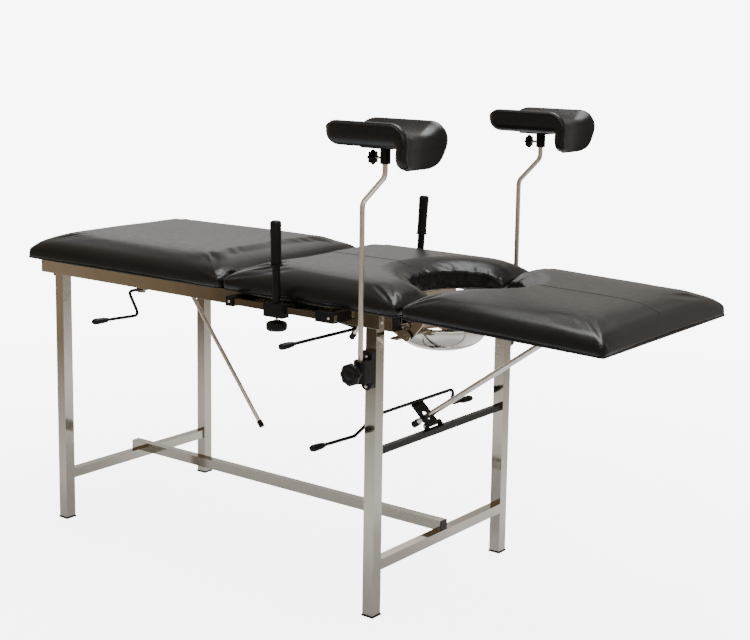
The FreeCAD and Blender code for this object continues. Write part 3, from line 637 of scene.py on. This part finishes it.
def pleat(co, cut, base, thick):
    """Gathered pleats down the wall of a round cut-out."""
    centre_x, radius, pleats = cut
    dx, dy = co[:, 0] - centre_x, co[:, 1]
    around = np.hypot(dx, dy)
    angle = np.arctan2(dy, dx)
    wall = smoothstep(0.034, 0.0, np.abs(around - radius))
    height = np.clip((co[:, 2] - base) / thick, 0, 1)
    band = smoothstep(0.0, 0.25, height) * smoothstep(1.05, 0.55, height)
    wave = np.sin(angle * pleats + 0.6 * np.sin(angle * 2.3))
    fold = np.sign(wave) * np.abs(wave) ** 0.6
    tuck = 1 - smoothstep(0.0, 0.16, np.abs(wave))
    push = wall * band * (fold * 0.0022 + tuck * 0.0030)
    co[:, 0] += dx / np.maximum(around, 1e-6) * push
    co[:, 1] += dy / np.maximum(around, 1e-6) * push


def surface_line(pad, points, lift):
    """Points dropped on to a pad's top, for a seam that follows it."""
    work = bmesh.new()
    work.from_mesh(pad.data)
    tree = BVHTree.FromBMesh(work)
    work.free()
    found = []
    for x, y in points:
        hit = tree.ray_cast(Vector((x, y, 1.0)), Vector((0, 0, -1)))[0]
        if hit is not None:
            found.append(hit + Vector((0, 0, lift)))
    return found


def seam(name, pad, body, x_from, x_to, y):
    """Sewn seam along a pad's top, a narrow raised line."""
    steps = 60
    line = [(x_from + (x_to - x_from) * i / steps, y) for i in range(steps + 1)]
    points = surface_line(pad, line, -0.0002)
    piece = ring_tube(name, points, 0.0009, "piping", closed=False, sides=6)
    finish_piece(piece, body, "vinyl")


def plan_path(x0, x1, half, corner, cut=None, closed=False, open_end=None):
    """Points along a pad's outline, anticlockwise seen from above.

    cut is (end, centre x, radius): a round opening at the "low" or "high" x end.
    open_end leaves out the end that faces a neighbour at "low" or "high" x."""
    def arc(cx, cy, r, start, stop, steps=8):
        return [(cx + r * math.cos(math.radians(start + (stop - start) * k / steps)),
                 cy + r * math.sin(math.radians(start + (stop - start) * k / steps)))
                for k in range(steps + 1)]

    def end_cut(side, x):
        if not cut or cut[0] != side:
            return []
        centre, radius = cut[1], cut[2]
        reach = math.degrees(math.acos((x - centre) / radius))
        if side == "high":
            return arc(centre, 0, radius, -reach, -(360 - reach), 48)
        return arc(centre, 0, radius, reach, -reach, 48)

    c = corner
    high_end = (arc(x1 - c, -half + c, c, -90, 0) + end_cut("high", x1)
                + arc(x1 - c, half - c, c, 0, 90))
    low_end = (arc(x0 + c, half - c, c, 90, 180) + end_cut("low", x0)
               + arc(x0 + c, -half + c, c, 180, 270))
    near, far = [(x0 + c, -half), (x1 - c, -half)], [(x1 - c, half), (x0 + c, half)]
    if open_end == "high":
        path = far + low_end + near
    elif open_end == "low":
        path = near + high_end + far
    else:
        path = near + high_end + far + low_end
    spaced = [Vector((*path[0], 0))]
    pairs = list(zip(path, path[1:] + ([path[0]] if closed else [])))
    for start, stop in pairs:
        start, stop = Vector((*start, 0)), Vector((*stop, 0))
        steps = max(1, round((stop - start).length / 0.006))
        spaced += [start.lerp(stop, k / steps) for k in range(1, steps + 1)
                   if (start.lerp(stop, k / steps) - spaced[-1]).length > 1e-4]
    if closed:
        spaced.pop()
    return spaced


def tuck(name, body, path, closed, bottom, width, droop=False, seed=1):
    """Edge of the cover, folded under the board and stapled in small gathers."""
    random = np.random.default_rng(seed)
    waves = [(random.uniform(25, 160), random.uniform(0, 6.28)) for _ in range(6)]
    shape = ((-7.5, 1.0), (-5.6, -2.2), (-5.4, -4.4), (-6.8, -5.4),
             (-width, -5.5), (-width, -4.7))            # (outward, up) in mm
    vertices, faces, run = [], [], 0.0
    count = len(path)
    for index, point in enumerate(path):
        before = path[index - 1] if closed or index else point
        after = path[(index + 1) % count] if closed or index < count - 1 else point
        along = (after - before).normalized()
        out = Vector((along.y, -along.x, 0))
        run += (point - before).length
        ripple = sum(math.sin(run * pitch + phase) for pitch, phase in waves) / 6
        for offset, rise in shape:
            push = (offset + ripple * 0.9) * MM
            lift = (rise + ripple * 0.4) * MM
            vertices.append(point + out * push + Vector((0, 0, bottom + lift)))
    size = len(shape)
    for index in range(count if closed else count - 1):
        following = (index + 1) % count
        for k in range(size):
            n = (k + 1) % size
            faces.append((index * size + k, index * size + n,
                          following * size + n, following * size + k))
    if not closed:
        faces.append(tuple(range(size)))
        faces.append(tuple((count - 1) * size + k for k in range(size)))
    piece = object_from(name, vertices, faces, "vinyl")
    if droop:
        write_coordinates(piece.data, level_foot(coordinates(piece.data), -1))
    fix_normals(piece)
    finish_piece(piece, body, "vinyl")


def make_section_pads():
    back_box, seat_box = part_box("back_pad"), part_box("seat_pad")
    hinge_x = (back_box[1].x + seat_box[0].x) / 2
    joint_x = seat_box[1].x + PAD_GAP
    half, corner, bottom = seat_box[1].y - 0.001, 0.014, seat_box[0].z
    foot_start = joint_x + PAD_GAP
    foot_cut_x = foot_start + FOOT_CUT_DEPTH - FOOT_CUT_R
    section_pad("back_cushion", "back_pad", "back_section", (hinge_x,), None, 3)
    seat = section_pad("seat_cushion", "seat_pad", "seat_section", (hinge_x, joint_x),
                       (seat_box[1].x, SEAT_CUT_R, 17), 5)
    foot = section_pad("foot_cushion", "foot_pad", "foot_section", (joint_x,),
                       (foot_cut_x, FOOT_CUT_R, 15), 8)
    seam("seat_seam", seat, "seat_section", seat_box[0].x + 0.03, seat_box[1].x - 0.175, 0.0)
    seam("foot_seam", foot, "foot_section", foot_start + 0.145, FOOT_END - 0.03, 0.0)
    back_path = plan_path(back_box[0].x, back_box[1].x, half, corner, open_end="high")
    seat_path = plan_path(seat_box[0].x, seat_box[1].x, half, corner,
                          cut=("high", seat_box[1].x, SEAT_CUT_R), open_end="low")
    foot_path = plan_path(foot_start, FOOT_END, half, corner,
                          cut=("low", foot_cut_x, FOOT_CUT_R), closed=True)
    tuck("back_tuck", "back_section", back_path, False, bottom, 11.0, seed=2)
    tuck("seat_tuck", "seat_section", seat_path, False, bottom, 11.0, seed=4)
    tuck("foot_tuck", "foot_section", foot_path, True, bottom, 13.0, True, 6)


# ------------------------------------------------------------------ leg rests

def leg_rest_section(half, rim, floor):
    """Closed outline (across, up) of the trough: flat base, upright walls, round lips, hollow."""
    base_r, lip_r = min(0.023, rim * 0.5), min(0.010, rim * 0.3)
    right = []
    for k in range(6):
        a = math.radians(-90 + 90 * k / 5)
        right.append((half - base_r + base_r * math.cos(a), base_r + base_r * math.sin(a)))
    right.append((half + 0.0015, (base_r + rim - lip_r) / 2))
    for k in range(6):
        a = math.radians(120 * k / 5)
        right.append((half - lip_r + lip_r * math.cos(a), rim - lip_r + lip_r * math.sin(a)))
    lip_x, lip_z = right[-1]
    hollow_part = []
    for k in range(1, 16):
        across = lip_x * (1 - 2 * k / 16)
        hollow_part.append((across, floor + (lip_z - floor) * (abs(across) / lip_x) ** 2.1))
    left = [(-x, z) for x, z in reversed(right)]
    base = [((half - base_r) * (-1 + 2 * k / 6), 0.0) for k in range(1, 6)]
    return right + hollow_part + left + base


def make_leg_rest(name):
    """Saddle pad: a trough for the calf that rolls down over its foot end."""
    low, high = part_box("%s_rest_pad" % name)
    middle, half = (low.y + high.y) / 2, (high.y - low.y) / 2
    under, bend, flap_rim, overhang = 1.0952, 0.006, 0.030, 0.012
    turn_x = high.x - flap_rim - bend
    flat = turn_x - low.x
    arc = (bend + 0.027) * math.pi / 2
    total = flat + arc + (under - bend - low.z) + overhang

    def path(s):
        """Point on the pad's underside and the direction outward, at distance s."""
        if s <= flat:
            return Vector((low.x + s, middle, under)), Vector((0, 0, 1))
        if s <= flat + arc:
            a = (s - flat) / arc * math.pi / 2
            return (Vector((turn_x + bend * math.sin(a), middle, under - bend + bend * math.cos(a))),
                    Vector((math.sin(a), 0, math.cos(a))))
        return Vector((turn_x + bend, middle, under - bend - (s - flat - arc))), Vector((1, 0, 0))

    lobes = {NEAR: 0.030, FAR: 0.068}

    def half_width(s, lobe):
        """Half the pad's width at s, rounded off towards the tip of the flap."""
        reach = min(lobe, total - s)
        return half - lobe + max(0.004, math.sqrt(lobe ** 2 - (lobe - reach) ** 2))

    def ring(t):
        """Ring of points at t = 0..1 from the head end, bunched towards both ends."""
        s = total * (0.5 - 0.5 * math.cos(math.pi * t)) if 0 < t < 1 else total * t
        bent = float(smoothstep(flat - 0.004, flat + arc + 0.004, s))
        rim, floor = 0.055 - 0.025 * bent, 0.028 - 0.013 * bent
        head_r, foot_r = 0.036, 0.015
        head = math.sqrt(max(0.0, 1 - max(0.0, 1 - s / head_r) ** 2))
        foot = math.sqrt(max(0.0, 1 - max(0.0, 1 - (total - s) / foot_r) ** 2))
        thick = max(0.04, head * foot)
        widths = {side: half_width(s, lobe) - 0.026 * (1 - head) for side, lobe in lobes.items()}
        point, normal = path(s)
        centre_height = rim * 0.5
        places = []
        for across, up in leg_rest_section(half, rim, floor):
            lift = centre_height + (up - centre_height) * thick
            across *= widths[NEAR if across < 0 else FAR] / half
            places.append(point + Vector((0, across, 0)) + normal * lift)
        return places

    rows = 76
    rings = [ring(i / rows) for i in range(rows + 1)]
    columns = len(rings[0])
    vertices = [place for places in rings for place in places]
    faces = []
    for i in range(rows):
        for j in range(columns):
            n = (j + 1) % columns
            faces.append((i * columns + j, i * columns + n,
                          (i + 1) * columns + n, (i + 1) * columns + j))
    faces.append(tuple(range(columns)))
    faces.append(tuple(rows * columns + j for j in range(columns)))
    piece = object_from("%s_leg_rest_cushion" % name, vertices, faces, "vinyl")
    fix_normals(piece)
    subdivided(piece)
    for face in piece.data.polygons:
        face.use_smooth = True
    finish_piece(piece, "%s_leg_rest" % name, "vinyl", "%s_rest_pad" % name)
    lip = 8
    other_lip = 6 + 1 + 6 + 15 + (6 + 1 + 6 - 1 - lip)     # its mirror point in the outline
    loop = [places[lip] for places in rings] + [places[other_lip] for places in reversed(rings)]
    piping = ring_tube("%s_leg_rest_piping" % name, loop, 0.0016, "piping", closed=True, sides=8)
    finish_piece(piping, "%s_leg_rest" % name, "vinyl")


# ------------------------------------------------------------------ turned and moulded pieces

def turned(name, start, axis, profile, material, sides=40, lobes=None, flat=1.0):
    """Piece turned about an axis from a profile of (distance, radius, lobe strength)."""
    start, axis = Vector(start), Vector(axis).normalized()
    helper = Vector((0, 0, 1)) if abs(axis.z) < 0.9 else Vector((1, 0, 0))
    across = axis.cross(helper).normalized()
    up = across.cross(axis)
    vertices, faces = [], []
    for distance, radius, strength in profile:
        for k in range(sides):
            a = 2 * math.pi * k / sides
            r = radius
            if lobes:
                count, cut, sharp = lobes
                r -= cut * strength * (0.5 - 0.5 * math.cos(count * a)) ** sharp
            spoke = math.cos(a) * across + flat * math.sin(a) * up
            vertices.append(start + axis * distance + r * spoke)
    for i in range(len(profile) - 1):
        for k in range(sides):
            n = (k + 1) % sides
            faces.append((i * sides + k, i * sides + n, (i + 1) * sides + n, (i + 1) * sides + k))
    faces.append(tuple(range(sides)))
    faces.append(tuple((len(profile) - 1) * sides + k for k in range(sides)))
    piece = object_from(name, vertices, faces, material)
    fix_normals(piece)
    piece.data.set_sharp_from_angle(angle=math.radians(50))
    return piece


def joined(name, pieces):
    """One object from several."""
    work = bmesh.new()
    for piece in pieces:
        work.from_mesh(piece.data)
    work.to_mesh(pieces[0].data)
    work.free()
    pieces[0].name = name
    for piece in pieces[1:]:
        bpy.data.objects.remove(piece)
    for face in pieces[0].data.polygons:
        face.use_smooth = True
    return pieces[0]


def knob_profile(radius, thickness):
    """Moulded knob: stud collar, rounded rim, dished face with a raised hub."""
    return ((0.0, radius * 0.36, 0.0), (0.08 * thickness, radius * 0.42, 0.0),
            (0.14 * thickness, radius * 0.80, 0.6), (0.22 * thickness, radius * 0.94, 1.0),
            (0.34 * thickness, radius, 1.0), (0.78 * thickness, radius, 1.0),
            (0.92 * thickness, radius * 0.95, 1.0), (thickness, radius * 0.84, 0.8),
            (0.99 * thickness, radius * 0.62, 0.3), (0.97 * thickness, radius * 0.46, 0.0),
            (0.97 * thickness, radius * 0.38, 0.0), (1.03 * thickness, radius * 0.30, 0.0),
            (1.04 * thickness, radius * 0.12, 0.0))


def make_knob(node, axis, cap_start, cap, stud_name, stud_start, stud):
    """Moulded cap in place of a CAD knob, and the plain stud behind it.

    cap is (radius, thickness, sides, lobes); stud is (radius, length, sides)."""
    radius, thickness, sides, lobes = cap
    piece = turned(node + "_cap", cap_start, axis, knob_profile(radius, thickness),
                   "black_plastic", sides, lobes)
    finish_piece(piece, node + "_body", "black_plastic", node)
    radius, length, sides = stud
    piece = turned(stud_name, stud_start, axis, ((0.0, radius, 0.0), (length, radius, 0.0)),
                   "chromed", sides)
    finish_piece(piece, node + "_body", "chromed")


def make_knobs(name, side):
    def centre(node):
        low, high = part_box(node)
        return (low + high) / 2

    clamp, star, under = name + "_clamp_knob", name + "_star_knob", name + "_handgrip_knob"
    at = centre(clamp)
    make_knob(clamp, (0, side, 0), (at.x, side * 0.3465, at.z), (0.0262, 0.0180, 96, (8, 0.0024, 0.8)),
              "%s_clamp_stud" % name, (at.x, side * 0.3425, at.z), (0.0075, 0.0045, 24))
    at = centre(star)
    make_knob(star, (-1, 0, 0), (0.3295, at.y, at.z), (0.0165, 0.0125, 96, (8, 0.0042, 1.0)),
              "%s_star_stud" % name, (0.345, at.y, at.z), (0.0028, 0.0165, 20))
    at = centre(under)
    make_knob(under, (0, 0, -1), (at.x, at.y, 0.6695), (0.0248, 0.0240, 180, (30, 0.0009, 1.0)),
              "%s_handgrip_stud" % name, (at.x, at.y, 0.6865), (0.0029, 0.0185, 20))


def make_handgrip(name, side, lean):
    """Moulded sleeve: a bead at the foot, a little wider towards its rounded top."""
    block_low, block_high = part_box("%s_handgrip_slider" % name)
    centre_x = (block_low.x + block_high.x) / 2
    pivot = Vector((centre_x, side * 0.316, 0.710))
    axis = Vector((0, side * math.sin(math.radians(lean)), math.cos(math.radians(lean))))
    profile = ((0.0931, 0.0112, 0), (0.0936, 0.0126, 0), (0.098, 0.0130, 0), (0.102, 0.0124, 0),
               (0.106, 0.0122, 0), (0.145, 0.0124, 0), (0.175, 0.0130, 0), (0.184, 0.0133, 0),
               (0.188, 0.0132, 0), (0.1915, 0.0122, 0), (0.1935, 0.0092, 0), (0.1942, 0.0045, 0))
    sleeve = turned("%s_handgrip_sleeve" % name, pivot, axis, profile, "black_rubber", 40)
    finish_piece(sleeve, "%s_handgrip_body" % name, "black_rubber", "%s_handgrip" % name)


# node: (body, start, end) of each grip, in mm
LEVER_GRIPS = {
    "back_lever_grip": (("back_release", (-492.4, -354, 603.6), (-502.9, -398, 602.9)),),
    "seat_lever_grip": (("seat_release", (137.0, -364, 635.3), (121.2, -398, 630.1)),),
    "lock_lever_grips": (("foot_lock", (223.9, -357.5, 414.1), (215.8, -398, 411.7)),
                         ("foot_lock", (242, 160, 414.9), (242, 209, 413.9))),
}

# share of the grip's length, and radius in mm
LEVER_GRIP_SHAPE = ((0.0, 5.2), (0.03, 6.3), (0.12, 7.6), (0.2, 8.4), (0.24, 8.0), (0.28, 8.8),
                    (0.4, 9.4), (0.45, 9.0), (0.5, 9.6), (0.7, 9.8), (0.85, 9.3), (0.94, 7.8),
                    (0.985, 5.4), (1.0, 3.0))


def make_lever_grips():
    """Oval moulded grips, thicker towards the free end, with shallow finger rings."""
    for node, grips in LEVER_GRIPS.items():
        pieces = []
        for body, start, stop in grips:
            start, stop = Vector(start) * MM, Vector(stop) * MM
            length = (stop - start).length
            profile = [(t * length, r * MM, 0) for t, r in LEVER_GRIP_SHAPE]
            pieces.append(turned(node + "_part", start, stop - start, profile, "black_rubber", 32,
                                 flat=0.82))
        piece = joined(node + "_oval", pieces)
        finish_piece(piece, grips[0][0], "black_rubber", node)


def make_basin():
    """Pressed bowl with a rolled rim."""
    centre_x, rim_z, radius, depth, wall = 0.289, 0.6515, 0.112, 0.064, 0.0013
    outer, inner = [], []
    for k in range(28):
        a = math.radians(90 * k / 27)
        fall = math.sin(a) ** 0.92
        reach = math.cos(a) ** 0.72 if a < 1.57 else 0.0
        outer.append((radius * reach, -0.0015 - (depth - 0.0015) * fall))
        inner.append(((radius - wall) * reach, -(depth - wall) * fall))
    rim = [(radius + 0.0105, -0.0018), (radius + 0.0125, -0.0024), (radius + 0.0138, -0.0016),
           (radius + 0.0138, -0.0003), (radius + 0.0125, 0.0), (radius + 0.0020, 0.0)]
    outline = list(reversed(outer)) + [(radius + 0.001, -0.0015)] + rim + inner
    outline = [(r, z) for r, z in outline if r > 0.0015]
    sides = 96
    vertices, faces = [], []
    for r, z in outline:
        for k in range(sides):
            a = 2 * math.pi * k / sides
            vertices.append((centre_x + r * math.cos(a), r * math.sin(a), rim_z + z))
    for i in range(len(outline) - 1):
        for k in range(sides):
            n = (k + 1) % sides
            faces.append((i * sides + k, i * sides + n, (i + 1) * sides + n, (i + 1) * sides + k))
    faces.append(tuple(range(sides)))
    faces.append(tuple((len(outline) - 1) * sides + k for k in range(sides)))
    piece = object_from("basin_bowl", vertices, faces, "mirror")
    fix_normals(piece)
    finish_piece(piece, "basin_body", "stainless", "basin")


def make_screws():
    """Domed socket screws in place of the CAD's plain heads."""
    work = bmesh.new()
    work.from_mesh(frame["nodes"]["frame_screws"].data)
    bmesh.ops.remove_doubles(work, verts=work.verts, dist=1e-6)
    left = set(work.verts)
    heads = []
    while left:
        island, stack = [], [left.pop()]
        while stack:
            vertex = stack.pop()
            island.append(vertex.co.copy())
            for edge in vertex.link_edges:
                other = edge.other_vert(vertex)
                if other in left:
                    left.remove(other)
                    stack.append(other)
        heads.append(island)
    work.free()
    heads.sort(key=lambda points: min(tuple(p) for p in points))
    pieces = []
    for index, island in enumerate(heads):
        low = Vector([min(p[i] for p in island) for i in range(3)])
        high = Vector([max(p[i] for p in island) for i in range(3)])
        centre, size = (low + high) / 2, high - low
        thin = min(range(3), key=lambda i: size[i])
        radius, height = max(size) / 2, size[thin]
        out = Vector((0, 0, 0))
        inward = thin == 0 or abs(centre.y) < 0.256
        out[thin] = (-1 if inward else 1) * (1 if thin == 0 or centre[thin] > 0 else -1)
        foot = centre - out * height / 2
        shape = ((0.0, 1.0, 0), (0.35, 0.98, 0), (0.7, 0.88, 0), (0.93, 0.70, 0), (1.0, 0.52, 0),
                 (1.0, 0.45, 1), (0.45, 0.42, 1), (0.42, 0.05, 0))
        profile = [(t * height, r * radius, s) for t, r, s in shape]
        pieces.append(turned("screw_%d" % index, foot, out, profile, "chromed", 36,
                             (6, radius * 0.12, 1.0)))
    piece = joined("socket_screws", pieces)
    finish_piece(piece, "frame", "stainless", "frame_screws")


make_camera()
make_lights()
make_world()
make_floor()
dress_cad_nodes()
make_section_pads()
for side_name, side_sign in SIDES.items():
    make_leg_rest(side_name)
    make_knobs(side_name, side_sign)
    make_handgrip(side_name, side_sign, HANDGRIP_LEAN[side_name])
make_lever_grips()
make_basin()
make_screws()
